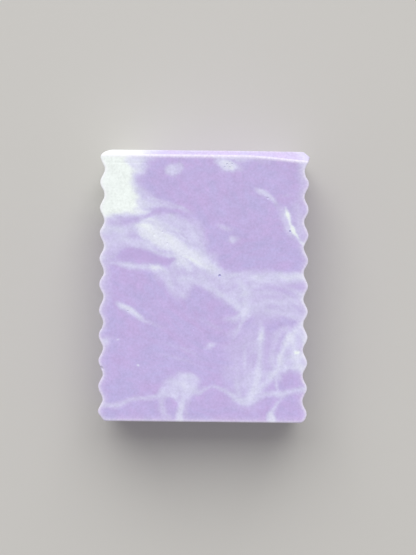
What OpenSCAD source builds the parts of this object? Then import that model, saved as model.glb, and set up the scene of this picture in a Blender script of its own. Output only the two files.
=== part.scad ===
// Marbled soap bar: lavender soap with white soap swirled through it.
// The bar lies on its underside. X runs across its width, Y along its length
// and Z up through its thickness. The origin is the middle of the underside.

/* [Bar] */
// Width over the crests of the two crinkle-cut sides
bar_w = 63.5; // [58:0.5:70]
// Length between the two straight ends
bar_l = 82.7; // [78:0.1:90]
// Thickness from the underside to the upper face
bar_t = 25.4; // [20:0.2:32]

/* [Crinkle cut] */
// Distance from one crest to the next
pitch = 7.75; // [6:0.05:10]
// Height of a crest over the valleys beside it
wave_depth = 1.3; // [0.6:0.1:2]
// Distance of the middle crest from the middle of the bar, towards the planed end
wave_shift = 0.2; // [-1:0.1:1]

/* [Planed edge] */
// Width of the planed bevel, measured along the upper face
bevel_w = 1.7; // [1:0.1:2.5]
// Slope of the planed bevel, down from the upper face
bevel_angle = 38; // [25:1:50]
// Extra width of the bevel's second stroke at the right side
stroke_w = 1.6; // [0.6:0.1:2]
// Distance from the right side at which the second stroke starts
stroke_l = 17; // [15:1:35]
// Width of the small bevels on the other straight edges
trim_w = 0.3; // [0.2:0.1:1]

/* [Corners] */
// Width of the rounded corner at the planed end
round_w = 2.1; // [1:0.1:3]
// Length of the rounded corner at the planed end
round_l = 2.9; // [1.5:0.1:4]
// Width of the cut at the corner below the rounded one
cut_w = 2; // [1:0.1:3]
// Length of the cut at the corner below the rounded one
cut_l = 2.5; // [1.5:0.1:4]
// How far the sharp corner stands out past the crests
tip_out = 0.4; // [0:0.1:1]
// Distance of the sharp corner's tip from the planed end
tip_l = 1.9; // [1:0.1:3]
// Width of the facet behind the sharp corner
facet_w = 2; // [1:0.1:3]

/* [Marbling] */
// Depth of the wide pale fields, which end inside the bar
haze_depth = 13; // [6:0.5:17]
// Depth of the small drops and short streaks, which also end inside
drop_depth = 7; // [3:0.5:12]

/* [Hidden] */

lavender = "#c1b2e1";
white = "#eef6f2";
pale = "#d9d7f0";

wave_steps = 10;    // flats in one wave
corner_steps = 5;   // flats in a rounded corner
steps = 4;          // flats between two stations of a vein
over = 6;           // how far the cutters and veins run past the bar

half_w = bar_w / 2;
half_l = bar_l / 2;
stroke_turn = atan2(stroke_w, stroke_l);
waves = ceil(bar_l / pitch);

// The veins were laid out on a bar of this width and length, and they stretch with it
layout = [63.5, 82.7];
stretch = [bar_w / layout.x, bar_l / layout.y];
// Places on the face are measured from this point
face_middle = [-tip_out / 2 - 0.14, -0.15];

// Leans of the veins about X and Y as they go down through the bar, in degrees
lean_corner = [4, -4];
lean_plume = [-5, 3];
lean_haze = [6, -6];
lean_cloud = [-6, 5];
lean_knot = [-4, -3];
lean_stem = [3, 5];
lean_fan = [4, 4];
lean_cap = [-3, -5];
lean_thread = [-4, 0];
lean_tail = [0, 6];
lean_streak = [8, 6];
lean_drop = [5, 0];

// Closed outlines, as places on the upper face
corner_edge = [
    [-36, 46], [-12, 46], [-15.5, 39.5], [-18.5, 36.8], [-21, 34.4], [-21.7, 31.5],
    [-20.8, 28.6], [-21, 25.5], [-19.2, 22.9], [-22, 22], [-27, 21.9], [-36, 21.4]
];
shoulder_edge = [
    [-16.5, 20.6], [-12.5, 22], [-8, 22.2], [-4.6, 20.9], [-2, 18.6], [-0.6, 15.6],
    [0.2, 12], [-5, 12], [-11, 15]
];
haze_edge = [
    [-36, 19], [-28.5, 19.2], [-23.5, 18.6], [-19, 16.5], [-15.5, 12.9], [-18.5, 12],
    [-22, 12.2], [-25, 11.3], [-28, 9.4], [-36, 8.9]
];
mid_edge = [
    [-9, 9], [-4, 10], [2, 7.5], [6, 3], [9, 0], [12.3, -4], [10.4, -6.9], [7.6, -5.4],
    [4.5, -3.1], [1.2, -0.5], [-1.6, 0.4], [-3.8, -0.6], [-5, -2.8], [-7.6, -3.6],
    [-10.2, -1.8], [-12, 1.2], [-13.8, 3.6], [-11, 5.2]
];
cloud_edge = [
    [4.6, 4.4], [10, 4.7], [17, 5.1], [24, 5.4], [36, 4.6], [36, -9.3], [29, -9.4],
    [22, -8.8], [17, -9.6], [14.6, -8], [11, -4.2], [6.4, 1.2]
];
fan_edge = [
    [36, -8.6], [30, -10.9], [26.2, -13.4], [24.2, -16.4], [23.2, -20.2], [21.6, -24.6],
    [19.2, -28], [16.9, -30.6], [14.6, -33.2], [15.6, -34.6], [18.4, -32.4],
    [21.4, -29.6], [24, -25.9], [28, -25.2], [36, -25.2]
];
cap_edge = [
    [-12.4, -33], [-11.6, -30.4], [-9.8, -28], [-7, -26.6], [-4, -26.2], [-1.9, -27.2],
    [-0.9, -29.3], [-1.3, -31.3], [-3.2, -32.8], [-4.7, -34.6], [-5.3, -37.5],
    [-5.5, -46], [-7.9, -46], [-7.7, -38], [-7.2, -34.8], [-8.6, -33.7]
];

// Bands, as a middle line of places on the upper face, each with its half width
tongue_line = [
    [-22, 25, 1.6], [-18, 24.9, 1.7], [-14, 24.9, 1.2], [-10.5, 24.5, 0.8],
    [-7, 23.6, 0.5], [-4, 22, 0.5], [-2, 20.6, 0.3]
];
plume_line = [
    [-21.6, 18.9, 0.9], [-18.2, 18, 2.3], [-15, 16.2, 3.2], [-11, 14.2, 3.1],
    [-7, 12, 2.7], [-3, 9.6, 2.5], [0.6, 7.2, 2.2], [3.6, 4.6, 1.6], [5.6, 2.6, 0.9]
];
arc_line = [
    [-35, 7.4, 0.4], [-30, 7.8, 0.4], [-26, 7.7, 0.5], [-22.5, 7, 0.6],
    [-19, 6.2, 0.6], [-16, 5.5, 0.7], [-13.6, 5, 0.9], [-11.4, 4, 0.5]
];
knot_line = [
    [12.6, -4.8, 1.6], [13.1, -7, 2], [12.4, -9.4, 1.1], [11.4, -11.6, 0.6],
    [10.2, -13.8, 0.5], [9.2, -16, 0.4], [8.6, -18, 0.3]
];
stem_line = [
    [17.8, -11.4, 0.5], [17.8, -15, 0.8], [17.6, -19.5, 0.8], [17.1, -24, 1],
    [16.2, -28, 1.4], [15, -31.6, 1.6], [13.2, -35, 1.2]
];
thread_left_line = [
    [-36, -36.7, 0.6], [-30, -36.5, 0.6], [-25.5, -36, 0.8], [-22, -34.9, 0.6],
    [-17, -34.1, 0.5], [-12, -33.4, 0.6], [-9, -32.6, 0.6]
];
thread_mid_line = [
    [-3.5, -31.8, 0.6], [-0.5, -32, 0.5], [1.8, -30.8, 0.5], [4.2, -30.4, 0.5],
    [7, -31.8, 0.6], [10, -34, 0.7], [12.2, -35.4, 0.8], [14, -35.4, 0.7]
];
thread_right_line = [
    [15.2, -34.8, 0.6], [17.4, -33.9, 0.6], [21, -33, 0.6], [25, -32.4, 0.7],
    [28.2, -31.3, 0.6], [31, -30.6, 0.6], [36, -29.8, 0.6]
];
tail_line = [[24.2, -33.4, 0.6], [22.3, -35.8, 0.8], [21.1, -38.4, 1], [21.4, -46, 1.1]];
left_streak_line = [
    [-26.6, -5, 0.3], [-24.6, -6.4, 0.8], [-22, -8.1, 0.9], [-18.6, -10.3, 0.6],
    [-15, -11.8, 0.3]
];
upper_streak_line = [[15.8, 30, 0.5], [17.6, 28.8, 0.8], [19.7, 27.4, 0.9], [21.9, 26, 0.4]];
right_streak_line = [
    [24.3, 23.6, 0.4], [24.8, 21.8, 0.6], [25.6, 19.4, 0.5], [26.9, 17.3, 0.7],
    [28.4, 14.9, 0.5], [30.2, 13.2, 0.6], [34, 11, 0.5]
];

// The two drops: place on the upper face and half axes
left_drop = [-9, 35.2];
left_drop_r = [2.2, 2];
right_drop = [7.2, 36.9];
right_drop_r = [3.4, 2.1];

// ---- Curves ----

// Place at t, from 0 to 1, between b and c on a smooth curve through a, b, c and d
function between(a, b, c, d, t) = (
    2 * b
    + (c - a) * t
    + (2 * a - 5 * b + 4 * c - d) * t * t
    + (3 * b - a - 3 * c + d) * t * t * t
) / 2;

// Smooth closed outline through the points p
function closed(p) = let (n = len(p)) [
    for (i = [0 : n - 1], j = [0 : steps - 1])
        between(p[(i + n - 1) % n], p[i], p[(i + 1) % n], p[(i + 2) % n], j / steps)
];

// Smooth open line through the stations p
function open(p) = let (last = len(p) - 1) [
    for (i = [0 : last - 1], j = [0 : steps - 1])
        between(p[max(i - 1, 0)], p[i], p[i + 1], p[min(i + 2, last)], j / steps),
    p[last]
];

// One edge of the band along the line p: side 1 is its left edge and -1 its right one
function edge(p, i, side) = let (
    last = len(p) - 1,
    way = p[min(i + 1, last)] - p[max(i - 1, 0)],
    unit = [way.x, way.y] / norm([way.x, way.y])
) [p[i].x - side * p[i].z * unit.y, p[i].y + side * p[i].z * unit.x];

// Outline of the band that follows the stations p
function band(p) = let (line = open(p), last = len(line) - 1) [
    for (i = [0 : last]) edge(line, i, 1),
    for (i = [last : -1 : 0]) edge(line, i, -1)
];

// Ellipse with half axes r around the point c
function drop(c, r) = [
    for (i = [0 : 23]) [c.x + r.x * cos(15 * i), c.y + r.y * sin(15 * i)]
];

// Places on the face, stretched with the bar and measured from its middle
function on_face(p) = [
    for (q = p) [q.x * stretch.x + face_middle.x, q.y * stretch.y + face_middle.y]
];

// ---- Outline of the bar ----

// Distance of the crinkled side from the bar's middle plane, at the place y
function side_x(y) = half_w - wave_depth / 2 * (1 - cos(360 * (y - wave_shift) / pitch));

// Places along the crinkled side, from y0 to y1
function side(y0, y1) = let (n = waves * wave_steps) [
    for (i = [0 : n]) let (y = y0 + (y1 - y0) * i / n) [side_x(y), y]
];

function mirrored(p) = [for (i = [len(p) - 1 : -1 : 0]) [-p[i].x, p[i].y]];

right_side = side(-half_l + trim_w, half_l - tip_l - pitch / 8);
left_side = mirrored(side(-half_l + cut_l, half_l - round_l));

sharp_corner = [[half_w + tip_out, half_l - tip_l], [half_w + tip_out - facet_w, half_l]];

// Quarter of an ellipse from the planed end round to the left side
round_side = side_x(half_l - round_l);
round_corner = [
    for (i = [0 : corner_steps - 1]) let (a = 90 + 90 * i / corner_steps)
        [-round_side + round_w + round_w * cos(a), half_l - round_l + round_l * sin(a)]
];

lower_corners = [[-half_w + cut_w, -half_l], [side_x(-half_l + trim_w) - trim_w, -half_l]];

outline = concat(right_side, sharp_corner, round_corner, left_side, lower_corners);

// ---- Solids ----

// A block that planes off a straight edge at height z: everything above a plane
// that meets that height w inside the edge and falls outwards at the given angle
module plane_cut(z, w, angle) {
    translate([0, half_l - w, z])
        rotate([-angle, 0, 0])
            translate([-bar_w, -over, 0])
                cube([2 * bar_w, over + 3 * bar_t, bar_t]);
}

// The second stroke of the plane, turned to widen the bevel towards the right side
module second_stroke() {
    translate([half_w - stroke_l, half_l - bevel_w, bar_t])
        rotate([0, 0, -stroke_turn])
            rotate([-bevel_angle, 0, 0])
                translate([-bar_w, -over, 0])
                    cube([3 * bar_w, over + 3 * bar_t, bar_t]);
}

// Small 45 degree bevel on the lower end's upper edge
module end_trim() {
    mirror([0, 1, 0]) plane_cut(bar_t, trim_w, 45);
}

// The whole bar, before its veins are told apart
module bar() {
    translate([-tip_out / 2, 0, 0])
        difference() {
            linear_extrude(bar_t) polygon(outline);
            plane_cut(bar_t, bevel_w, bevel_angle);
            second_stroke();
            end_trim();
        }
}

// A vein with the given outline on the face, leaning about its first point as it
// goes down
module vein(edge_points, lean, depth) {
    p = on_face(edge_points);
    translate([p[0].x, p[0].y, bar_t])
        rotate([lean.x, lean.y, 0])
            translate([-p[0].x, -p[0].y, -depth])
                linear_extrude(depth + over) polygon(p);
}

through = bar_t + over;

module corner_form() { vein(closed(corner_edge), lean_corner, through); }
module tongue_form() { vein(band(tongue_line), lean_corner, haze_depth); }
module plume_form() { vein(band(plume_line), lean_plume, through); }
module shoulder_form() { vein(closed(shoulder_edge), lean_plume, haze_depth); }
module haze_form() { vein(closed(haze_edge), lean_haze, haze_depth); }
module arc_form() { vein(band(arc_line), lean_haze, drop_depth); }
module mid_form() { vein(closed(mid_edge), lean_plume, through); }
module cloud_form() { vein(closed(cloud_edge), lean_cloud, haze_depth); }
module knot_form() { vein(band(knot_line), lean_knot, through); }
module stem_form() { vein(band(stem_line), lean_stem, through); }
module fan_form() { vein(closed(fan_edge), lean_fan, haze_depth); }
module cap_form() { vein(closed(cap_edge), lean_cap, through); }
module thread_left_form() { vein(band(thread_left_line), lean_thread, haze_depth); }
module thread_mid_form() { vein(band(thread_mid_line), lean_thread, haze_depth); }
module thread_right_form() { vein(band(thread_right_line), lean_thread, haze_depth); }
module tail_form() { vein(band(tail_line), lean_tail, through); }
module left_streak_form() { vein(band(left_streak_line), lean_streak, drop_depth); }
module upper_streak_form() { vein(band(upper_streak_line), lean_streak, drop_depth); }
module right_streak_form() { vein(band(right_streak_line), lean_streak, haze_depth); }
module left_drop_form() { vein(drop(left_drop, left_drop_r), lean_drop, drop_depth); }
module right_drop_form() { vein(drop(right_drop, right_drop_r), lean_drop, drop_depth); }

// The part of the first child that lies in the bar and outside the other children
module poured() {
    intersection() {
        bar();
        difference() {
            children(0);
            if ($children > 1) children([1 : $children - 1]);
        }
    }
}

// ---- Sub-parts: where two veins meet, the earlier one in this list keeps the space ----

module white_corner() color(white) poured() { corner_form(); }

module white_plume() color(white) poured() { plume_form(); corner_form(); }

module plume_knot() color(white) poured() { knot_form(); plume_form(); }

module right_stem() color(white) poured() { stem_form(); }

module bottom_cap() color(pale) poured() { cap_form(); }

module corner_tongue() color(pale) poured() {
    tongue_form();
    corner_form();
    plume_form();
}

module mid_plume() color(pale) poured() {
    mid_form();
    plume_form();
    knot_form();
}

module right_cloud() color(pale) poured() {
    cloud_form();
    plume_form();
    mid_form();
    knot_form();
    stem_form();
}

module plume_shoulder() color(pale) poured() {
    shoulder_form();
    plume_form();
    tongue_form();
}

module left_haze() color(pale) poured() {
    haze_form();
    corner_form();
    plume_form();
}

module left_arc() color(white) poured() {
    arc_form();
    mid_form();
    haze_form();
}

module right_fan() color(pale) poured() {
    fan_form();
    stem_form();
    cloud_form();
}

module corner_tail() color(pale) poured() { tail_form(); }

module bottom_thread_left() color(pale) poured() { thread_left_form(); cap_form(); }

module bottom_thread_mid() color(pale) poured() {
    thread_mid_form();
    cap_form();
    stem_form();
}

module bottom_thread_right() color(pale) poured() {
    thread_right_form();
    stem_form();
    fan_form();
    tail_form();
}

module left_streak() color(white) poured() { left_streak_form(); }

module upper_streak() color(pale) poured() { upper_streak_form(); }

module right_streak() color(white) poured() { right_streak_form(); }

module top_drop_left() color(pale) poured() { left_drop_form(); }

module top_drop_right() color(white) poured() { right_drop_form(); }

module lavender_base() color(lavender) difference() {
    bar();
    corner_form();
    plume_form();
    knot_form();
    stem_form();
    cap_form();
    tongue_form();
    mid_form();
    cloud_form();
    shoulder_form();
    haze_form();
    arc_form();
    fan_form();
    tail_form();
    thread_left_form();
    thread_mid_form();
    thread_right_form();
    left_streak_form();
    upper_streak_form();
    right_streak_form();
    left_drop_form();
    right_drop_form();
}

lavender_base();
white_corner();
corner_tongue();
white_plume();
plume_shoulder();
left_haze();
left_arc();
mid_plume();
right_cloud();
plume_knot();
right_stem();
right_fan();
bottom_cap();
bottom_thread_left();
bottom_thread_mid();
bottom_thread_right();
corner_tail();
left_streak();
upper_streak();
right_streak();
top_drop_left();
top_drop_right();
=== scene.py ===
"""Looks of the marbled soap bar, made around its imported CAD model.

One detailed bar is built inside the CAD bar, with its crinkled sides, planed edge,
worn edges and bubble pits, and is then split along the CAD veins, so that every CAD
node has a detailed piece of its own. The marbling is one field of soft streams that
runs through all the pieces. Sizes are millimetres until a mesh is written, apart from
the lamp's, which are metres.
"""

import math

import bmesh
import bpy
import mathutils
import numpy as np
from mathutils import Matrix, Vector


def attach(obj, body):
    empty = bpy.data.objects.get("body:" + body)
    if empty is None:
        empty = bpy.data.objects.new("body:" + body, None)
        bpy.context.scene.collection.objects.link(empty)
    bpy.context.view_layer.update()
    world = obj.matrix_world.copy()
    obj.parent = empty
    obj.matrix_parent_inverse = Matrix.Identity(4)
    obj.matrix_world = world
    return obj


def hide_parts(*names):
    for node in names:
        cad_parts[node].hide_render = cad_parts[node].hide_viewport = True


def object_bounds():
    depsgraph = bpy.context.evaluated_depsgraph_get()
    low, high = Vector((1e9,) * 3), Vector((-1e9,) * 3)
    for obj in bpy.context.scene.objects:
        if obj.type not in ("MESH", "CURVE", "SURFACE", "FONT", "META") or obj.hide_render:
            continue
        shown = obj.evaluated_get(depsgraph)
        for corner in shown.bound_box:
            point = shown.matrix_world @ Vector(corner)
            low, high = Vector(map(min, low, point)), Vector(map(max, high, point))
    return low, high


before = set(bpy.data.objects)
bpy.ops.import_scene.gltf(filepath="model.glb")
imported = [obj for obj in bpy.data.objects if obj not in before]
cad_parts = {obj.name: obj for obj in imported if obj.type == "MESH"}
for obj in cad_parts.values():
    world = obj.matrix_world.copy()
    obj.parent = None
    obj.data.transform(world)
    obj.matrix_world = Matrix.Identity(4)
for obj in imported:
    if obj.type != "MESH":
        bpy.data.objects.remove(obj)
cad_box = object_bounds()

MM = 0.001
LOW = np.array(cad_box[0]) / MM
HIGH = np.array(cad_box[1]) / MM

# ---- The bar's shape: the same sizes as in the CAD model ----

TIP_OUT = 0.4  # the sharp corner stands out this far past the crests
HALF_W = (HIGH[0] - LOW[0] - TIP_OUT) / 2
HALF_L = (HIGH[1] - LOW[1]) / 2
THICK = HIGH[2] - LOW[2]
PITCH = 7.75
WAVE_DEPTH = 1.3
WAVE_SHIFT = 0.2
BEVEL_W = 1.7
BEVEL_ANGLE = math.radians(38)
STROKE_W = 1.6
STROKE_L = 17.0
TRIM_W = 0.3
TIP_L = 1.9
FACET_W = 2.0
CUT_W = 2.0
CUT_L = 2.5
# Middle of the marbling on the face, as in the CAD model
FACE_MIDDLE = np.array([-TIP_OUT / 2 - 0.14, -0.15])

# ---- What only the looks need ----

SKIN = 0.05  # the detailed bar stays this far inside the CAD bar
FOOT = 0.01  # and this far above its underside
RIM = 0.4  # softness of the edges that were handled
CRISP = 0.22  # softness of the planed edges
CORNER = 2.9  # softness of the rounded corner
SMALL_CORNER = 1.1
SLOW_SAG = 0.025  # how far the cut faces swing in and out
QUICK_SAG = 0.012
CHATTER = 0.035  # depth of the marks that the cutter left on the sides
CORE_INSET = 2.0  # the rays that find the surface start this far inside
FAN = 8  # rays in half of an edge
CELL = 0.4  # distance between rays on the upper face
FINE_CELL = 0.2  # and beside the planed edge
FINE_FROM = 35.5  # where that finer part starts
SIDE_CELL = 0.6  # distance between rays down the sides

# Open bubbles and dimples on the upper face: place, radius of the mouth and depth
PITS = [
    (5, 3.4, 0.45, 0.55),
    (26.2, 17, 0.36, 0.4),
    (19.3, 27, 0.4, 0.16),
    (6.9, 37.2, 0.32, 0.22),
    (7.7, 36.3, 0.26, 0.2),
    (8.4, 37.3, 0.24, 0.16),
    (7.6, 38, 0.2, 0.14),
    (6.2, 36.4, 0.22, 0.16),
    (-15, 15.5, 0.32, 0.08),
    (-12.5, 16.5, 0.26, 0.12),
    (-11, 13, 0.26, 0.1),
    (-22.7, -7.6, 0.24, 0.2),
    (-2.8, -13, 0.22, 0.1),
]
# Places along the bar of the small chips in its upper edges, and their radii
CHIPS = [-36.5, -30, -21, -12.5, -6, 3.5, 9, 17, 26, 33]
CHIP_RADII = (0.35, 0.7)
# One larger nick in the left edge: its place along the bar, radius and rise of its middle
NICK = -25.3
NICK_RADIUS = 0.9
NICK_RISE = 0.3
# A scored line beside the planed edge: its place along the bar, its ends and size
SCORE_AT = 37.15
SCORE_ENDS = (-30.2, -17.6)
SCORE_W = 0.25
SCORE_DEPTH = 0.035
# Painted highlights, from 0 to 1: how much paler the crinkled edges and the skin beside them,
# the near edge and the planed faces are painted where light catches them, and the burrs along the
# planed edge, partly real and partly a painted highlight
EDGE_HIGHLIGHT = 0.55
SKIN_HIGHLIGHT = 0.2
BURR_AND_HIGHLIGHT = 0.85
END_HIGHLIGHT = 0.2
PLANED_HIGHLIGHT = 0.25


# ---- Smooth noise ----


def waves(points, wavelength, seed, count=24):
    """A smooth random field over the points, from about -1 to 1."""
    rng = np.random.default_rng(seed)
    way = rng.normal(size=(count, points.shape[1]))
    way /= np.linalg.norm(way, axis=1)[:, None]
    turns = 2 * math.pi / wavelength * rng.uniform(0.6, 1.5, count)
    phase = rng.uniform(0, 2 * math.pi, count)
    total = np.zeros(len(points))
    for i in range(count):
        total += np.sin(points @ way[i] * turns[i] + phase[i])
    return total / math.sqrt(count / 2)


def smooth(t):
    """0 up to t = 0, 1 from t = 1 on, and a smooth passage between."""
    t = np.clip(t, 0, 1)
    return t * t * (3 - 2 * t)


def smooth_max(a, b, k):
    """The larger of a and b, rounded where they are within k of each other."""
    return np.maximum(a, b) + np.maximum(k - np.abs(a - b), 0) ** 2 / (4 * k)


# ---- The surface of the bar, as a distance that is negative inside ----


def side_x(y):
    """Distance of a crinkled side from the middle plane, at the places y."""
    return HALF_W - WAVE_DEPTH / 2 * (1 - np.cos(2 * math.pi * (y - WAVE_SHIFT) / PITCH))


def right_x(y):
    """The right side, which runs out to the sharp corner at the planed end."""
    run = PITCH / 8
    start = HALF_L - TIP_L - run
    share = np.clip((y - start) / run, 0, 1)
    return side_x(np.minimum(y, start)) * (1 - share) + (HALF_W + TIP_OUT) * share


def wall(x, y, profile):
    """Distance from a side wall whose place is profile(y)."""
    step = 0.05
    slope = (profile(y + step) - profile(y - step)) / (2 * step)
    return (x - profile(y)) / np.sqrt(1 + slope**2)


def plane(points, through, normal):
    """Distance from the plane through a point, positive on the side of its normal."""
    normal = np.array(normal) / np.linalg.norm(normal)
    return (points - np.array(through)) @ normal


def bar_parts(p):
    """Distances of the points p from the faces that meet along the bar's edges."""
    x = p[:, 0] + TIP_OUT / 2
    y, z = p[:, 1], p[:, 2]
    q = np.stack([x, y, z], axis=1)
    sag = SLOW_SAG * waves(q, 21, seed=1) + QUICK_SAG * waves(q, 8, seed=2)
    chatter = CHATTER * waves(np.stack([y, 0.12 * z], axis=1), 2.3, seed=3)

    score = np.exp(-(((y - SCORE_AT) / SCORE_W) ** 2)) * (x > SCORE_ENDS[0]) * (x < SCORE_ENDS[1])
    top = z - THICK - np.minimum(sag, 0) + SCORE_DEPTH * score
    under = -z - np.minimum(0.3 * sag, 0)
    right = wall(x, y, right_x) + np.maximum(chatter, 0)
    left = wall(-x, y, side_x) + np.maximum(-chatter, 0)
    far = y - HALF_L + np.maximum(0.6 * sag, 0)
    near = -y - HALF_L + np.maximum(-0.6 * sag, 0)

    facet = plane(q, (HALF_W + TIP_OUT, HALF_L - TIP_L, 0), (TIP_L, FACET_W, 0))
    cut = plane(q, (-HALF_W, -HALF_L + CUT_L, 0), (-CUT_L, -CUT_W, 0))
    slope_y, slope_z = math.sin(BEVEL_ANGLE), math.cos(BEVEL_ANGLE)
    bevel = plane(q, (0, HALF_L - BEVEL_W, THICK), (0, slope_y, slope_z))
    turn = math.atan2(STROKE_W, STROKE_L)
    stroke = plane(
        q,
        (HALF_W - STROKE_L, HALF_L - BEVEL_W, THICK),
        (slope_y * math.sin(turn), slope_y * math.cos(turn), slope_z),
    )
    trim = plane(q, (0, -HALF_L + TRIM_W, THICK), (0, -1, 1))

    far_left = smooth_max(left, far, CORNER)
    far_right = smooth_max(smooth_max(right, far, RIM), facet, CRISP)
    near_left = smooth_max(smooth_max(left, near, RIM), cut, RIM)
    near_right = smooth_max(right, near, SMALL_CORNER)
    around = np.max([far_left, near_left, far_right, near_right], axis=0)
    planed = smooth_max(bevel, stroke, CRISP)
    return around, top, planed, trim, under


def bar_distance(p):
    """Distance of the points p from the skin of the bar."""
    around, top, planed, trim, under = bar_parts(p)
    upper = smooth_max(smooth_max(top, planed, CRISP), trim, CRISP)
    body = smooth_max(around, upper, RIM)
    return smooth_max(body + SKIN, under + FOOT, RIM)


def meeting(a, b, reach):
    """1 where two faces meet, falling to 0 at this distance from their edge."""
    return smooth(1 - np.abs(a - b) / reach)


def painted_highlight_and_burr(p):
    """Painted highlights where light catches the points, most along the upper edges, and the partly
    real burr along the planed edge.
    """
    around, top, planed, trim, _ = bar_parts(p)
    upper = np.max([top, planed, trim], axis=0)
    # painted highlight along the crinkled upper edges, and a fainter one on the skin beside them
    rim = EDGE_HIGHLIGHT * meeting(around, upper, 1.1)
    rim += SKIN_HIGHLIGHT * meeting(around, top, 2.6) * smooth(-planed / 1.5)
    rim *= around > -3
    # the burr, partly real and partly a painted highlight, spreads further over the upper face than
    # down the bevel
    burr_and_highlight = BURR_AND_HIGHLIGHT * meeting(top, planed, np.where(top > planed, 0.75, 0.3))
    burr_and_highlight *= planed > -1.2
    # painted highlight along the near edge
    end = END_HIGHLIGHT * meeting(top, trim, 0.7) * (trim > -1)
    # painted highlight on the planed faces
    face = PLANED_HIGHLIGHT * smooth((planed - top) / 0.3)
    return np.max([rim, burr_and_highlight, end, face], axis=0)


# ---- The mesh of the bar: a box of rays from a core to the surface ----


def fan_steps():
    """Sideways parts of the rays through half an edge, from 0 to 1."""
    return np.sin(np.linspace(0, math.pi / 2, FAN + 1))[1:]


def ray_lines(core):
    """Along one axis: the places on the core where rays start, and how far they lean."""
    fan = fan_steps()
    start = np.concatenate([np.full(FAN, core[0]), core, np.full(FAN, core[-1])])
    lean = np.concatenate([-fan[::-1], np.zeros(len(core)), fan])
    return start, lean


def ray_grid():
    """The starts and directions of all rays over a lattice box, and its quads."""
    length = HALF_L - CORE_INSET
    across = np.linspace(-1, 1, 2 * round((HALF_W - CORE_INSET) / CELL) + 1)
    along = np.concatenate(
        [
            np.linspace(-length, FINE_FROM, round((length + FINE_FROM) / CELL) + 1)[:-1],
            np.linspace(FINE_FROM, length, round((length - FINE_FROM) / FINE_CELL) + 1),
        ]
    )
    up = np.linspace(
        CORE_INSET, THICK - CORE_INSET, round((THICK - 2 * CORE_INSET) / SIDE_CELL) + 1
    )
    lines = [ray_lines(axis) for axis in (across, along, up)]
    sizes = [len(line[0]) for line in lines]
    number = -np.ones(sizes, int)
    shell = np.zeros(sizes, bool)
    for axis in range(3):
        for end in (0, -1):
            index = [slice(None)] * 3
            index[axis] = end
            shell[tuple(index)] = True
    cells = np.argwhere(shell)
    number[shell] = np.arange(len(cells))
    start = np.stack([lines[a][0][cells[:, a]] for a in range(3)], axis=1)
    way = np.stack([lines[a][1][cells[:, a]] for a in range(3)], axis=1)
    start[:, 0] *= side_x(start[:, 1]) - CORE_INSET
    start[:, 0] -= TIP_OUT / 2
    return start, way, shell_quads(number, sizes)


def shell_quads(number, sizes):
    """The quads of the six sides of the lattice box, facing outwards."""
    quads = []
    for axis in range(3):
        for end, outward in ((0, False), (sizes[axis] - 1, True)):
            side = np.take(number, end, axis=axis)
            a, b, c, d = side[:-1, :-1], side[1:, :-1], side[1:, 1:], side[:-1, 1:]
            loop = [a, b, c, d]
            if outward == (axis == 1):
                loop = loop[::-1]
            quads.append(np.stack([q.ravel() for q in loop], axis=1))
    return np.concatenate(quads)


def surface_points(start, way, reach=7.0, halvings=26):
    """Where each ray leaves the bar."""
    way = way / np.abs(way).max(axis=1)[:, None]
    near, far = np.zeros(len(start)), np.full(len(start), reach)
    for _ in range(halvings):
        middle = (near + far) / 2
        outside = bar_distance(start + way * middle[:, None]) > 0
        far = np.where(outside, middle, far)
        near = np.where(outside, near, middle)
    return start + way * ((near + far) / 2)[:, None]


def placed(name, data):
    """A new object in the scene, from a mesh, a light or a camera."""
    made = bpy.data.objects.new(name, data)
    bpy.context.scene.collection.objects.link(made)
    return made


def mesh_object(name, points, faces):
    """A new object from points in millimetres."""
    mesh = bpy.data.meshes.new(name)
    mesh.from_pydata((points * MM).tolist(), [], faces.tolist())
    mesh.validate()
    return placed(name, mesh)


def worked_object(name, work):
    """A new object from a bmesh, which is freed."""
    mesh = bpy.data.meshes.new(name)
    work.to_mesh(mesh)
    work.free()
    return placed(name, mesh)


def detailed_bar():
    """The whole bar, before its pits are cut and it is split."""
    start, way, quads = ray_grid()
    return mesh_object("whole_bar", surface_points(start, way), quads)


# ---- Bubble pits and chips ----


def boolean(target, tool, operation, name):
    """A new object: target with tool cut out of it, or only what they share."""
    step = target.modifiers.new("cut", "BOOLEAN")
    step.operation = operation
    step.object = tool
    step.solver = "MANIFOLD"
    bpy.context.view_layer.update()
    graph = bpy.context.evaluated_depsgraph_get()
    mesh = bpy.data.meshes.new_from_object(target.evaluated_get(graph))
    target.modifiers.remove(step)
    return placed(name, mesh)


def remove(thing):
    """Take an object and its mesh out of the file."""
    mesh = thing.data
    bpy.data.objects.remove(thing)
    bpy.data.meshes.remove(mesh)


def ball(work, place, radius):
    """Add a ball, to cut a dent with."""
    spot = mathutils.Matrix.Translation(place)
    bmesh.ops.create_icosphere(work, subdivisions=3, radius=radius, matrix=spot)


def dented(bar):
    """The bar with its open bubbles, dimples and small chips along the upper edges."""
    work = bmesh.new()
    surface = THICK - SKIN
    for x, y, mouth, depth in PITS:
        radius = (mouth**2 + depth**2) / (2 * depth)
        ball(work, (x + FACE_MIDDLE[0], y + FACE_MIDDLE[1], surface + radius - depth), radius)
    rng = np.random.default_rng(11)
    for y, side in zip(CHIPS, rng.choice([-1, 1], len(CHIPS))):
        radius = rng.uniform(*CHIP_RADII)
        x = side * side_x(y) - TIP_OUT / 2
        ball(work, (x + side * 0.5 * radius, y, surface + 0.5 * radius), radius)
    ball(work, (-side_x(NICK) - TIP_OUT / 2, NICK, surface + NICK_RISE), NICK_RADIUS)
    work.transform(mathutils.Matrix.Scale(MM, 4))
    tool = worked_object("dents", work)
    made = boolean(bar, tool, "DIFFERENCE", "dented_bar")
    remove(tool)
    remove(bar)
    return made


# ---- Splitting the bar along the CAD veins ----


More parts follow.
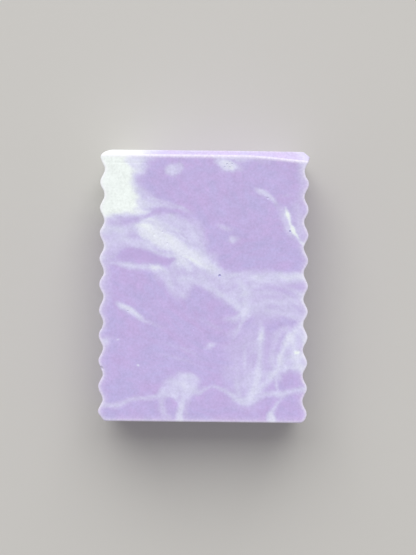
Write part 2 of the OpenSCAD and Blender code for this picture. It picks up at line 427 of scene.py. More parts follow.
def closed_copy(node):
    """A copy of a CAD node with its split corners joined, to cut with."""
    work = bmesh.new()
    work.from_mesh(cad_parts[node].data)
    bmesh.ops.remove_doubles(work, verts=work.verts, dist=1e-7)
    return worked_object(node + "_cutter", work)


def split(bar):
    """A piece of the bar for every CAD node."""
    pieces = {}
    for node in sorted(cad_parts):
        cutter = closed_copy(node)
        pieces[node] = boolean(bar, cutter, "INTERSECT", node + "_soap")
        remove(cutter)
    remove(bar)
    return pieces


def shade(piece, angle=math.radians(42)):
    """Smooth shading, with sharp edges only where the surface really turns."""
    work = bmesh.new()
    work.from_mesh(piece.data)
    for face in work.faces:
        face.smooth = True
    for edge in work.edges:
        if len(edge.link_faces) == 2:
            edge.smooth = edge.calc_face_angle() < angle
    work.to_mesh(piece.data)
    work.free()


# ---- Marbling: where the white soap runs ----

# Leans of the streams about X and Y as they go down through the bar, in degrees, and
# below them the depths at which the streams end, both as in the CAD model
LEANS = {
    "corner": (4, -4),
    "plume": (-5, 3),
    "haze": (6, -6),
    "cloud": (-6, 5),
    "knot": (-4, -3),
    "stem": (3, 5),
    "fan": (4, 4),
    "cap": (-3, -5),
    "thread": (-4, 0),
    "tail": (0, 6),
    "streak": (8, 6),
    "drop": (5, 0),
}
THROUGH = 60.0
DEEP = 13.0
SHALLOW = 7.0

# Wide pale areas: lean, depth, whiteness, softness of the edge and outline. Places are
# millimetres on the upper face, measured from FACE_MIDDLE.
AREAS = [
    (
        "haze", DEEP, 0.4, 3.4,
        [(-36, 20.6), (-28.5, 20), (-23.5, 19.2), (-19, 17), (-15, 12.6), (-18.5, 11.6),
         (-22, 11.8), (-25.6, 10.8), (-27.5, 8), (-36, 7.6)],
    ),
    (
        "plume", DEEP, 0.33, 3.4,
        [(-18.6, 20.4), (-15, 21.6), (-12, 21.8), (-8, 21.6), (-4.8, 20.2), (-1.2, 19.2),
         (0, 15), (1.6, 12), (3.6, 8), (-5, 7), (-12, 11), (-18, 15.6)],
    ),
    (
        "plume", THROUGH, 0.3, 2.8,
        [(-9, 9), (-4, 10), (2, 7.5), (6, 3), (9, 0), (12.3, -4), (10.4, -6.9), (7.6, -5.4),
         (4.5, -3.3), (1.2, -0.9), (-1.6, 0.2), (-3.8, -1), (-5, -3), (-7.6, -4),
         (-10.2, -2), (-12.4, 1.2), (-14.2, 4), (-11, 6)],
    ),
    (
        "cloud", DEEP, 0.33, 2.2,
        [(4.6, 4), (10, 4.4), (17, 4.9), (24, 5.1), (29, 4), (36, 3.4), (36, -2), (31, -5.5),
         (22, -6.4), (17, -7.6), (14.6, -8), (11, -4.2), (6.4, 1.2)],
    ),
    (
        "cloud", DEEP, 0.26, 4.0,
        [(12, 0), (36, 0), (36, -9.8), (29, -10), (22, -9.8), (17, -11), (13, -9)],
    ),
    (
        "fan", DEEP, 0.43, 2.6,
        [(36, -8), (30, -11), (26.4, -14), (24.6, -18), (23.6, -22), (22.6, -25.4),
         (25.5, -25.4), (28, -25.6), (36, -25.6)],
    ),
    (
        "stem", DEEP, 0.2, 6.0,
        [(8.5, -13), (16, -12), (20, -17), (22, -25), (19, -31), (15.5, -36), (11, -36),
         (7.4, -30), (7.4, -20)],
    ),
    (
        "stem", DEEP, 0.31, 3.6,
        [(14, -28.6), (16.4, -26.6), (19.6, -26), (19, -30.4), (16.4, -34.4), (12.4, -35),
         (10.8, -33.4), (13, -32)],
    ),
    (
        "cap", THROUGH, 0.41, 2.4,
        [(-13.2, -33.8), (-12.6, -30.8), (-11.2, -28.2), (-8, -26.8), (-4.6, -26.5),
         (-2, -27.2), (-0.8, -29.2), (-0.8, -31.6), (-3.2, -33.2), (-5, -34), (-9, -34)],
    ),
    (
        "corner", THROUGH, 0.55, 4.6,
        [(-36, 46), (-11, 46), (-15, 40), (-17.4, 37.6), (-18.4, 34.8), (-19.4, 32.4),
         (-19, 28.8), (-16, 26), (-17.6, 23.4), (-22, 21.4), (-27, 20.6), (-36, 20.2)],
    ),
    (
        "corner", THROUGH, 1.0, 3.4,
        [(-36, 46), (-12, 46), (-16, 41.4), (-23, 39.4), (-22.2, 36.8), (-21.4, 34.4),
         (-21.6, 31.5), (-20.8, 28.8), (-20, 25.7), (-19.4, 23.4), (-23.2, 22.2),
         (-27, 21.7), (-36, 21.7)],
    ),
]

# White streams: lean, depth, softness of the edge and stations, each with its place,
# half width and whiteness
STREAMS = [
    # smears beside the top of the corner
    ("corner", DEEP, 1.4, [(-23, 38.4, 0.5, 0.8), (-19.6, 38.3, 0.5, 0.5), (-16, 38.2, 0.3, 0.26),
                           (-13, 38.2, 0.2, 0)]),
    ("corner", DEEP, 1.6, [(-23, 35.6, 0.6, 0.6), (-20.4, 35.8, 0.8, 0.52), (-18.4, 36, 0.9, 0.46),
                           (-17, 36.2, 0.4, 0.2)]),
    # foot of the corner and the tongue beside it
    ("corner", DEEP, 2.0, [(-21.6, 23.4, 0.6, 0.8), (-19, 22.8, 1.1, 0.8), (-16.8, 22.7, 0.8, 0.6),
                           (-15, 22.4, 0.3, 0.2)]),
    ("corner", DEEP, 2.4, [(-21.6, 25.4, 1.3, 0.75), (-18.4, 24.9, 1.2, 0.56),
                           (-14, 24.6, 0.9, 0.44), (-10.5, 24.2, 0.6, 0.38),
                           (-7, 23.4, 0.4, 0.3), (-2, 21.4, 0.3, 0)]),
    ("corner", DEEP, 1.1, [(-19.6, 26.7, 0.3, 0.3), (-16, 26.1, 0.35, 0.48),
                           (-12.5, 25.3, 0.3, 0.36), (-9, 24.6, 0.3, 0.34),
                           (-6, 23.6, 0.3, 0.3), (-3.4, 22.4, 0.2, 0)]),
    # body of the main plume
    ("plume", THROUGH, 3.0, [(-23.4, 18.3, 0.3, 0.3), (-20.5, 18.4, 1.0, 0.6),
                             (-18, 17.6, 2.5, 0.74), (-15, 15.8, 2.9, 0.76),
                             (-11.5, 13.8, 2.6, 0.74), (-8, 12, 2.3, 0.74),
                             (-4.5, 9.9, 2.0, 0.7), (-1, 8, 1.9, 0.68), (2, 5.9, 1.6, 0.6),
                             (4.4, 4, 1.2, 0.52), (7, 2.4, 0.8, 0.42), (10, 1.6, 0.6, 0.3)]),
    # bright cores of the main plume
    ("plume", THROUGH, 2.0, [(-20.6, 18.7, 0.3, 0.7), (-18, 18.2, 1.3, 1.0),
                             (-15.2, 16.3, 1.2, 0.94), (-12.2, 14.3, 1.1, 0.98),
                             (-9, 12.8, 0.9, 0.9), (-6, 11.2, 0.7, 0.84), (-3, 9.7, 0.6, 0.76)]),
    ("plume", THROUGH, 1.4, [(-8.4, 10, 0.3, 0.7), (-6, 9, 0.55, 0.92), (-3, 8.2, 0.6, 0.97),
                             (0, 7.1, 0.6, 0.92), (2.4, 5.6, 0.5, 0.75), (4.6, 4.2, 0.4, 0.55)]),
    ("plume", DEEP, 0.9, [(-18.6, 19.9, 0.3, 0.6), (-16.4, 20.4, 0.4, 0.9), (-15, 19.4, 0.35, 0.78),
                          (-13.2, 17.9, 0.35, 0.78), (-11, 16.8, 0.3, 0.64),
                          (-8, 15.4, 0.3, 0.55), (-4, 13.6, 0.3, 0.46), (-1, 12, 0.2, 0.3)]),
    ("plume", DEEP, 2.2, [(-18.6, 20.3, 0.8, 0.68), (-15.4, 19.8, 0.8, 0.64), (-12, 18.1, 0.9, 0.58),
                          (-8.6, 17, 0.8, 0.52), (-5.6, 16.1, 0.5, 0.42), (-3.6, 15.2, 0.3, 0.2)]),
    ("plume", DEEP, 0.9, [(-14, 20.2, 0.2, 0.3), (-11.5, 19, 0.25, 0.52), (-9, 17.6, 0.25, 0.52),
                          (-6, 15.8, 0.25, 0.48), (-2.6, 13.8, 0.25, 0.44), (0.6, 11, 0.2, 0.3)]),
    ("plume", DEEP, 2.4, [(-20.6, 14.4, 0.4, 0.4), (-16, 11.2, 0.4, 0.5), (-12, 9.9, 0.5, 0.5),
                          (-8.4, 9, 0.7, 0.6), (-6.4, 7.2, 1.7, 0.66), (-4.4, 5.6, 1.1, 0.54)]),
    # thin arc under the lens
    ("haze", SHALLOW, 1.8, [(-36, 6.4, 0.3, 0.3), (-29.5, 6.8, 0.5, 0.32), (-26, 6.8, 0.6, 0.4),
                            (-23, 6.4, 0.7, 0.48), (-20, 6, 0.65, 0.46), (-17, 5.6, 0.6, 0.5),
                            (-14.6, 5.5, 0.9, 0.74), (-13, 5.4, 0.9, 0.66),
                            (-11, 4.3, 0.6, 0.44)]),
    ("haze", SHALLOW, 0.9, [(-36, 9.6, 0.2, 0.3), (-30, 9, 0.25, 0.36), (-27.6, 8.6, 0.2, 0.3),
                            (-25.6, 8.2, 0.1, 0)]),
    # bright band of the middle plume, down into the knot
    ("plume", THROUGH, 2.4, [(-9, 2.6, 0.3, 0.3), (-6, 2.2, 0.6, 0.48), (-2.5, 1.7, 0.5, 0.44),
                             (1, 0.5, 0.5, 0.42), (4, -1.3, 0.7, 0.48), (7, -3.2, 0.8, 0.52),
                             (10, -5.2, 1.0, 0.5), (12.4, -7.2, 1.2, 0.52)]),
    ("knot", THROUGH, 2.4, [(9, 2.6, 0.7, 0.3), (11.5, 1, 1.1, 0.48), (13, -2, 1.1, 0.5),
                            (13.2, -5, 1.3, 0.5), (12.8, -7.4, 1.8, 0.54), (12, -9.4, 1.0, 0.5),
                            (11.2, -11.2, 0.5, 0.46), (10.2, -13.8, 0.5, 0.36),
                            (9.2, -16, 0.4, 0.26), (8.4, -19, 0.3, 0)]),
    ("knot", DEEP, 2.4, [(12, -7.6, 0.6, 0.44), (9.8, -9.6, 0.9, 0.4), (7, -10, 0.5, 0.2),
                         (5, -9.6, 0.2, 0)]),
    # brighter parts of the cloud
    ("cloud", DEEP, 2.4, [(12, 3.6, 0.5, 0.2), (15.5, 3.2, 1.0, 0.5), (18.5, 2.6, 0.8, 0.44),
                          (22, 3.2, 0.8, 0.46), (25, 3.4, 1.1, 0.6), (28.5, 3, 0.9, 0.58),
                          (34, 2.6, 0.7, 0.5)]),
    ("cloud", DEEP, 2.4, [(10, 3.4, 0.4, 0.2), (11.6, 1.4, 0.8, 0.46), (13.6, -1.6, 0.7, 0.42),
                          (16.6, -5, 0.6, 0.36), (20, -7.4, 0.9, 0.36), (23.5, -8.2, 0.9, 0.36),
                          (27, -8.4, 0.8, 0.36), (34, -9, 0.6, 0.38)]),
    # upright stem and the pale threads beside it
    ("stem", THROUGH, 1.7, [(18.2, -9, 0.3, 0.1), (17.9, -12, 0.6, 0.4), (17.7, -14.6, 0.8, 0.6),
                            (17.4, -18, 0.5, 0.48), (17.2, -22, 0.5, 0.46), (17, -26, 0.9, 0.5),
                            (16.4, -30, 1.2, 0.54), (15.4, -32.6, 1.2, 0.54),
                            (13.8, -34.6, 0.9, 0.5)]),
    ("stem", DEEP, 2.0, [(15.4, -20, 0.3, 0.1), (14.8, -24, 0.3, 0.26), (14.8, -28, 0.4, 0.32),
                         (14.4, -32, 0.5, 0.38), (13.4, -34.4, 0.6, 0.42)]),
    ("stem", DEEP, 2.2, [(9.6, -18, 0.3, 0.1), (10.2, -22, 0.5, 0.2), (10.8, -26, 0.6, 0.28),
                         (10.4, -30, 0.6, 0.34), (11.4, -33.2, 0.7, 0.4)]),
    ("stem", DEEP, 1.6, [(12.8, -16, 0.3, 0.1), (12.6, -20, 0.4, 0.36), (13, -24, 0.4, 0.34),
                         (12.8, -28, 0.3, 0.2)]),
    # slanting fan
    ("fan", DEEP, 2.7, [(36, -7, 0.8, 0.44), (31, -10.4, 0.8, 0.5), (28, -13, 1.0, 0.58),
                        (26.4, -15, 1.3, 0.66), (24.9, -18.6, 1.1, 0.6), (23.4, -22.4, 1.1, 0.6),
                        (22.2, -25.2, 1.1, 0.6), (20, -28, 1.0, 0.5),
                        (17.6, -30.8, 1.0, 0.48), (15.4, -33, 0.9, 0.48)]),
    ("fan", DEEP, 1.2, [(22.2, -27, 0.3, 0.5), (22.7, -29.6, 0.3, 0.4), (23.4, -32.2, 0.3, 0.42)]),
    ("fan", DEEP, 3.0, [(25.6, -12.4, 1.0, 0.36), (22.6, -14.6, 1.4, 0.3), (21.8, -18.6, 0.9, 0.28),
                        (21.4, -22.6, 0.9, 0.38), (22.2, -25.6, 0.9, 0.5),
                        (23.4, -27.4, 0.6, 0.4)]),
    ("fan", DEEP, 1.3, [(23.6, -24, 0.4, 0.4), (26, -24.3, 0.5, 0.56), (29, -24.6, 0.4, 0.54),
                        (36, -24.8, 0.4, 0.44)]),
    ("fan", DEEP, 2.2, [(25, -21.8, 0.4, 0.4), (28, -21.2, 0.8, 0.6), (34, -20.2, 0.7, 0.56)]),
    # body of the cap, its stem and the loop beside it
    ("cap", THROUGH, 2.4, [(-9.8, -31, 1.0, 0.38), (-7.4, -30.6, 1.8, 0.42), (-3.6, -29.8, 1.6, 0.42)]),
    ("cap", THROUGH, 1.7, [(-5.4, -29.6, 1.2, 0.42), (-5.6, -33, 1.1, 0.46), (-6, -36, 1.2, 0.5),
                           (-6.3, -39, 1.3, 0.52), (-6.6, -46, 1.3, 0.52)]),
    ("cap", DEEP, 2.4, [(-4.6, -33.4, 0.8, 0.36), (-4.5, -36, 0.6, 0.28), (-4.3, -38.6, 0.5, 0.24),
                        (-4.2, -42, 0.3, 0.1)]),
    ("cap", DEEP, 2.0, [(-11.2, -33.8, 0.6, 0.34), (-11.9, -35.2, 0.8, 0.32),
                        (-12, -37.2, 0.8, 0.34), (-11.1, -39, 0.7, 0.38),
                        (-9.6, -39.8, 0.4, 0.26)]),
    # thread along the lower end
    ("thread", DEEP, 1.5, [(-11.4, -33.3, 0.4, 0.4), (-8, -32.4, 0.5, 0.46), (-4, -31.9, 0.5, 0.46),
                           (-0.5, -31.8, 0.4, 0.4)]),
    ("thread", DEEP, 1.7, [(-36, -36.7, 0.6, 0.36), (-30, -36.4, 0.6, 0.38),
                           (-25.5, -35.9, 0.7, 0.42), (-22, -34.8, 0.6, 0.38),
                           (-17, -34, 0.6, 0.38), (-12, -33.4, 0.7, 0.42),
                           (-8, -32.7, 0.7, 0.46)]),
    ("thread", DEEP, 1.6, [(-3.5, -31.8, 0.6, 0.46), (-0.5, -31.8, 0.5, 0.36),
                           (1.8, -30.8, 0.5, 0.36), (4.2, -30.4, 0.45, 0.36),
                           (7, -31.8, 0.5, 0.4), (10, -33.8, 0.8, 0.44), (12.2, -34.9, 0.8, 0.48),
                           (14.8, -34.7, 0.7, 0.46)]),
    ("thread", DEEP, 1.9, [(14.6, -34.7, 0.7, 0.46), (17.4, -33.4, 0.5, 0.38),
                           (21, -32.2, 0.8, 0.4), (23.2, -32.3, 1.0, 0.46), (25, -32.4, 0.8, 0.42),
                           (28.2, -31.3, 0.7, 0.42), (36, -29.8, 0.7, 0.42)]),
    # short tail at the lower right edge
    ("tail", THROUGH, 1.7, [(24.6, -33, 0.3, 0.3), (22.4, -35.8, 0.6, 0.4), (21.1, -38.4, 1.0, 0.56),
                            (21.6, -41, 1.0, 0.58), (22, -46, 1.0, 0.5)]),
    # streaks
    ("streak", SHALLOW, 1.4, [(-27, -4.8, 0.2, 0.2), (-25.2, -5.9, 0.7, 0.56), (-22.8, -7.3, 0.9, 0.6),
                              (-20.2, -8.9, 0.8, 0.54), (-17.8, -10.2, 0.6, 0.36),
                              (-14, -12, 0.4, 0.16), (-9, -13.4, 0.2, 0)]),
    ("streak", SHALLOW, 1.4, [(16.2, 29.8, 0.3, 0.3), (17, 29, 0.6, 0.5), (18.4, 27.9, 0.8, 0.42),
                              (19.9, 27, 0.8, 0.46), (21.8, 25.8, 0.5, 0.3), (23.4, 25, 0.2, 0)]),
    ("streak", DEEP, 0.9, [(25, 24.4, 0.3, 0.5), (25.2, 22.8, 0.7, 1.0),
                           (25.7, 20.8, 0.45, 0.85), (26.3, 19, 0.5, 0.85),
                           (27.1, 17.4, 0.9, 1.0), (28.3, 15.9, 0.6, 0.85),
                           (29.3, 14.3, 0.4, 0.7), (30.6, 13.2, 0.5, 0.75),
                           (35, 10.6, 0.4, 0.5)]),
    ("streak", DEEP, 2.4, [(22.8, 25, 0.4, 0.1), (24.2, 22.8, 1.0, 0.36), (24.8, 19.8, 0.9, 0.34),
                           (26.2, 17.2, 1.3, 0.4), (28, 14.6, 0.8, 0.2)]),
    # pale bloom along the right side
    ("tail", SHALLOW, 3.4, [(30.6, 42, 1.8, 0.34), (30, 36, 1.6, 0.32), (29.6, 30, 0.8, 0.2),
                            (28.4, 24, 1.2, 0.24), (29, 18, 1.2, 0.3), (30.4, 12, 0.6, 0.2),
                            (30.6, 6, 0.4, 0.1)]),
    # bloom along the left side, and below the planed edge
    ("tail", SHALLOW, 4.0, [(-31, 12, 1.5, 0.2), (-30.5, 4, 1.8, 0.2), (-30.5, -4, 1.8, 0.2),
                            (-31, -12, 1.0, 0.14)]),
    ("drop", SHALLOW, 2.0, [(2.6, 39.4, 0.3, 0.2), (6, 39.2, 0.4, 0.5), (10, 38.8, 0.5, 0.5),
                            (14, 38.4, 0.4, 0.3), (20, 38, 0.3, 0.14)]),
    # drops near the far end
    ("drop", SHALLOW, 1.8, [(-10.2, 35.6, 1.7, 0.46), (-9.2, 35.4, 2.0, 0.44),
                            (-8.2, 35.8, 1.7, 0.3)]),
    ("drop", SHALLOW, 2.6, [(4.2, 38.4, 1.1, 0.44), (6, 37.3, 2.0, 0.56), (8.2, 36.8, 1.8, 0.54),
                            (10.4, 36.4, 0.8, 0.3)]),
    ("drop", SHALLOW, 1.9, [(5.8, 37.5, 0.9, 0.94), (8.4, 36.5, 1.0, 1.0)]),
    # a painted highlight first: a white dot for the glint of light off a small dimple; then small
    # flecks and scraps
    ("tail", SHALLOW, 0.8, [(28.2, -19.8, 0.5, 1.0), (29.1, -19.7, 0.5, 1.0)]),
    ("tail", SHALLOW, 0.5, [(-19.5, -24, 0.2, 0.7), (-19.2, -24, 0.2, 0.7)]),
    ("tail", SHALLOW, 0.5, [(-26, -16.2, 0.15, 0.7), (-25.6, -16.1, 0.15, 0.7)]),
    ("streak", SHALLOW, 1.6, [(3.4, 19.8, 0.2, 0), (5.4, 18.8, 0.5, 0.32), (8, 17.6, 0.4, 0.24),
                              (10, 17, 0.2, 0)]),
    ("streak", SHALLOW, 1.6, [(7.4, 14.2, 0.4, 0.1), (8.8, 14.3, 1.1, 0.42), (10.6, 14.6, 0.6, 0.16)]),
    ("streak", SHALLOW, 1.6, [(0.8, -18.4, 0.3, 0.1), (2.8, -17.7, 0.8, 0.4), (4.6, -17.2, 0.3, 0.1)]),
    ("streak", SHALLOW, 2.6, [(-30.4, -17.6, 0.8, 0.3), (-29.2, -16.8, 1.0, 0.4),
                              (-27.6, -16, 0.5, 0.1)]),
    ("streak", SHALLOW, 1.6, [(-15, -16, 0.2, 0), (-9, -17.8, 0.3, 0.13), (-3, -20.6, 0.3, 0.13),
                              (1, -23.4, 0.2, 0)]),
    ("streak", SHALLOW, 1.6, [(-16, -20.4, 0.2, 0), (-10, -21, 0.3, 0.12), (-4, -22.8, 0.3, 0.13),
                              (1, -25.6, 0.2, 0)]),
    ("streak", SHALLOW, 1.8, [(-6, -8.6, 0.2, 0), (0, -10.6, 0.3, 0.1), (5, -13, 0.3, 0.12),
                              (8, -16.6, 0.2, 0)]),
    ("streak", SHALLOW, 1.6, [(23, 27.6, 0.2, 0), (25.4, 28.2, 0.4, 0.18), (28, 27.4, 0.2, 0)]),
]

# Lavender streams that lie over the white ones
OVERLAYS = [
    ("haze", DEEP, 1.7, [(-32, 19.2, 0.4, 0.1), (-27, 18.8, 0.7, 0.3), (-24, 18.8, 0.9, 0.5),
                         (-21, 19.8, 0.5, 0.5), (-18, 21, 0.2, 0.4), (-14.4, 22.5, 0.3, 0.75),
                         (-11, 22.9, 0.45, 0.8), (-8, 22.4, 0.45, 0.75), (-5, 20.6, 0.4, 0.5),
                         (-3, 19, 0.2, 0.2)]),
    ("haze", DEEP, 1.2, [(-26.4, 8.8, 0.3, 0.4), (-24.6, 9.5, 0.9, 0.9), (-22, 9.8, 1.5, 1.0),
                         (-19, 9.4, 1.6, 1.0), (-16, 8.7, 1.1, 1.0), (-13, 8, 0.8, 1.0),
                         (-10.6, 7.5, 1.0, 1.0), (-8.8, 8, 0.5, 0.7)]),
    ("cloud", DEEP, 2.2, [(24, 0.2, 0.3, 0.2), (28, 0.3, 0.8, 0.6), (35, 0, 1.0, 0.6)]),
    ("cloud", DEEP, 2.6, [(12.6, -3.8, 0.3, 0.2), (16, -3.4, 0.7, 0.36), (20, -2.9, 0.8, 0.42),
                          (23.6, -3, 0.8, 0.46), (26.6, -3.6, 0.4, 0.2)]),
    ("fan", DEEP, 2.2, [(25, -29, 1.0, 0.4), (26.4, -28, 1.2, 0.5), (29, -27.6, 1.2, 0.5),
                        (36, -28, 1.1, 0.5)]),
    ("stem", DEEP, 2.2, [(19.9, -15, 0.3, 0.2), (19.7, -18, 0.4, 0.4), (19.4, -21, 0.4, 0.4),
                         (19.2, -24, 0.3, 0.2)]),
]

# Thin pale sheets deep in the bar: seed, distance between them and whiteness
SHEETS = [(41, 26, 0.5), (51, 19, 0.36), (61, 34, 0.8)]

# How far the streams wander sideways: slowly on the upper face, more below it, and in
# small quick waves
WANDER_TOP = 0.18
WANDER_BELOW = 1.4
WANDER_QUICK = 0.08

# Twirls that bend the grain of the soap: centre, turn in degrees and reach
TWIRLS = [(12, -10, -70, 16), (-12, 8, 25, 12), (-4, -30, 60, 9), (22, 22, -30, 12)]
GRAIN_TURN = math.radians(-24)


def curve(stations, steps=6, closed=False):
    """A smooth line through the stations, with every value of a station carried along."""
    p = np.array(stations, float)
    if closed:
        p = np.concatenate([p[-1:], p, p[:2]])
    else:
        p = np.concatenate([2 * p[:1] - p[1:2], p, 2 * p[-1:] - p[-2:-1]])
    t = np.linspace(0, 1, steps + 1)[:-1, None]
    parts = []
    for i in range(1, len(p) - 2):
        a, b, c, d = p[i - 1], p[i], p[i + 1], p[i + 2]
        parts.append(
            (2 * b + (c - a) * t + (2 * a - 5 * b + 4 * c - d) * t**2
             + (3 * b - a - 3 * c + d) * t**3) / 2
        )
    return np.concatenate(parts + [p[-2:-1]])


def leaned(points, lean):
    """Places on the upper face of the streams that reach the points from above."""
    depth = THICK - points[:, 2]
    about_x, about_y = (math.tan(math.radians(a)) for a in LEANS[lean])
    x = points[:, 0] + depth * about_y
    y = points[:, 1] - depth * about_x
    return np.stack([x, y], axis=1) - FACE_MIDDLE


def nearest(places, line):
    """Distance from the line, and the line's values beside each place."""
    best = np.full(len(places), 1e9)
    values = np.zeros((len(places), line.shape[1] - 2))
    for a, b in zip(line[:-1], line[1:]):
        way = b[:2] - a[:2]
        share = np.clip((places - a[:2]) @ way / max(way @ way, 1e-9), 0, 1)
        gap = np.linalg.norm(places - a[:2] - share[:, None] * way, axis=1)
        closer = gap < best
        best[closer] = gap[closer]
        values[closer] = (a[2:] + share[:, None] * (b - a)[2:])[closer]
    return best, values


def inside(places, outline):
    """Whether each place lies inside the closed outline."""
    odd = np.zeros(len(places), bool)
    x, y = places.T
    for a, b in zip(outline[:-1], outline[1:]):
        crossing = (a[1] > y) != (b[1] > y)
        run = a[0] + (y - a[1]) * (b[0] - a[0]) / (b[1] - a[1] if b[1] != a[1] else 1)
        odd ^= crossing & (x < run)
    return odd


def near_box(places, line, margin):
    """Whether each place lies in the box around the line, with a margin."""
    low = line[:, :2].min(axis=0) - margin
    high = line[:, :2].max(axis=0) + margin
    return np.all((places > low) & (places < high), axis=1)


def fade(points, depth):
    """1 above the depth where a stream ends, and 0 below it."""
    return smooth((depth - (THICK - points[:, 2])) / 3 + 0.5)


def grain(points):
    """The soap's own coordinates, bent as it was stirred: along, across and down."""
    q = points[:, :2].copy()
    for x, y, turn, reach in TWIRLS:
        away = q - (x, y)
        angle = math.radians(turn) * np.exp(-(away**2).sum(axis=1) / reach**2)
        c, s = np.cos(angle), np.sin(angle)
        q = np.stack([c * away[:, 0] - s * away[:, 1], s * away[:, 0] + c * away[:, 1]], axis=1)
        q += (x, y)
    c, s = math.cos(GRAIN_TURN), math.sin(GRAIN_TURN)
    along, across = q[:, 0] * c + q[:, 1] * s, q[:, 1] * c - q[:, 0] * s
    return np.stack([along, across, points[:, 2]], axis=1)


def area_white(points, wander):
    """Whiteness that the wide areas give the points."""
    white = np.zeros(len(points))
    patches = grain(points) * (0.45, 1, 0.5)
    patchy = 0.6 * waves(patches, 6, seed=21) + 0.4 * waves(patches, 2.6, seed=22)
    for lean, depth, value, soft, outline in AREAS:
        line = curve(outline, closed=True)
        places = leaned(points, lean) + wander
        here = near_box(places, line, soft)
        gap, _ = nearest(places[here], line)
        gap = np.where(inside(places[here], line), gap, -gap)
        cover = smooth(0.5 + (gap + 0.3 * patchy[here]) / soft) * fade(points[here], depth)
        level = value * (1 + 0.3 * patchy[here] * (value < 0.9))
        white[here] += cover * np.maximum(level - white[here], 0)
    return white


def stream_fields(points, streams, wander):
    """How far into the nearest stream each point is, and that stream's whiteness."""
    shape = np.full(len(points), -2.0)
    total, weight = np.zeros(len(points)), np.full(len(points), 1e-9)
    for lean, depth, soft, stations in streams:
        line = curve(stations)
        places = leaned(points, lean) + wander
        here = near_box(places, line, 3 + 3 * soft)
        gap, values = nearest(places[here], line)
        into = 0.5 + (values[:, 0] - gap) / soft
        level = np.maximum(values[:, 1], 0) * fade(points[here], depth)
        pull = np.exp(6 * np.clip(into, -2, 1.2)) * (0.02 + level)
        total[here] += pull * level
        weight[here] += pull
        shape[here] = np.maximum(shape[here], np.clip(into, -2, 2))
    return shape, total / weight


def deep_white(points):
    """Pale sheets inside the bar, which show on its sides and its underside."""
    below = smooth((THICK - points[:, 2] - 1.5) / 7)
    white = np.zeros(len(points))
    for seed, wavelength, level in SHEETS:
        bent = points * (0.8, 0.8, 1.5)
        field = waves(bent, wavelength, seed) + 0.2 * waves(bent, 5, seed + 1)
        where = smooth(0.5 + 0.9 * waves(points, 26, seed + 2))
        sheet = smooth(1 - np.abs(field) / 0.5)
        white = np.maximum(white, level * sheet * where)
    return white * below


def marbling(points):
    """The mesh attributes that the soap material reads."""
    depth = THICK - points[:, 2]
    slow = np.stack([waves(points, 9, seed) for seed in (31, 32)], axis=1)
    quick = np.stack([waves(points, 3, seed) for seed in (33, 34)], axis=1)
    sway = WANDER_TOP + WANDER_BELOW * smooth(depth / 8)
    wander = slow * sway[:, None] + WANDER_QUICK * quick
    white = np.maximum(area_white(points, wander), deep_white(points))
    shape, level = stream_fields(points, STREAMS, wander)
    over_shape, over_level = stream_fields(points, OVERLAYS, wander)
    return {
        "white": np.stack([white, shape, level], axis=1),
        # the third number of "lavender" is the painted highlights and the partly real burr
        "lavender": np.stack([over_shape, over_level, painted_highlight_and_burr(points)], axis=1),
        "grain": grain(points),
    }


def store(piece):
    """Write the marbling onto a piece."""
    flat = np.zeros(len(piece.data.vertices) * 3)
    piece.data.vertices.foreach_get("co", flat)
    for name, values in marbling(flat.reshape(-1, 3) / MM).items():
        layer = piece.data.attributes.new(name, "FLOAT_VECTOR", "POINT")
        layer.data.foreach_set("vector", values.astype(np.float32).ravel())


# ---- The soap material ----


def srgb(*levels):
    """A linear colour from 0 to 255 levels as they are seen."""
    shares = [v / 255 for v in levels]
    return [s / 12.92 if s <= 0.04045 else ((s + 0.055) / 1.055) ** 2.4 for s in shares] + [1]


LAVENDER_BLUE = srgb(188.5, 178, 225)
LAVENDER_PINK = srgb(195, 174.5, 223.5)
PURPLE = srgb(188, 166, 217)  # where lavender lies over white
# Pale colour of the painted highlights on the edges and planed faces, and of the partly real burr
HIGHLIGHT_AND_BURR_WHITE = srgb(246, 243, 252)
# Whiteness, and the colour that the soap has there
WHITE_STEPS = [
    (0.2, srgb(199, 189, 229)),
    (0.45, srgb(210, 207, 237)),
    (0.75, srgb(226, 228, 243)),
    (1.0, srgb(241, 248, 245)),
]
# How much the streaks of the stirring change the whiteness: their two sizes, and their
# share in half-mixed soap and in all soap
WISPS = 0.28
FEATHER = 0.16
MIXED_SHARE = 0.6
PLAIN_SHARE = 0.1
# How much the fine grain changes the lightness, and the lightness of the two ends
SPECKLE = 0.18
MOTTLE = 0.12
NEAR_LIGHT = 1.03
FAR_LIGHT = 0.985
SPECKLE_SIZE = 0.7 * MM
MOTTLE_SIZE = 2.4 * MM
MARK_SIZE = 0.9 * MM
GRIT_SIZE = 0.3 * MM
BUMP_DEPTH = 0.05 * MM


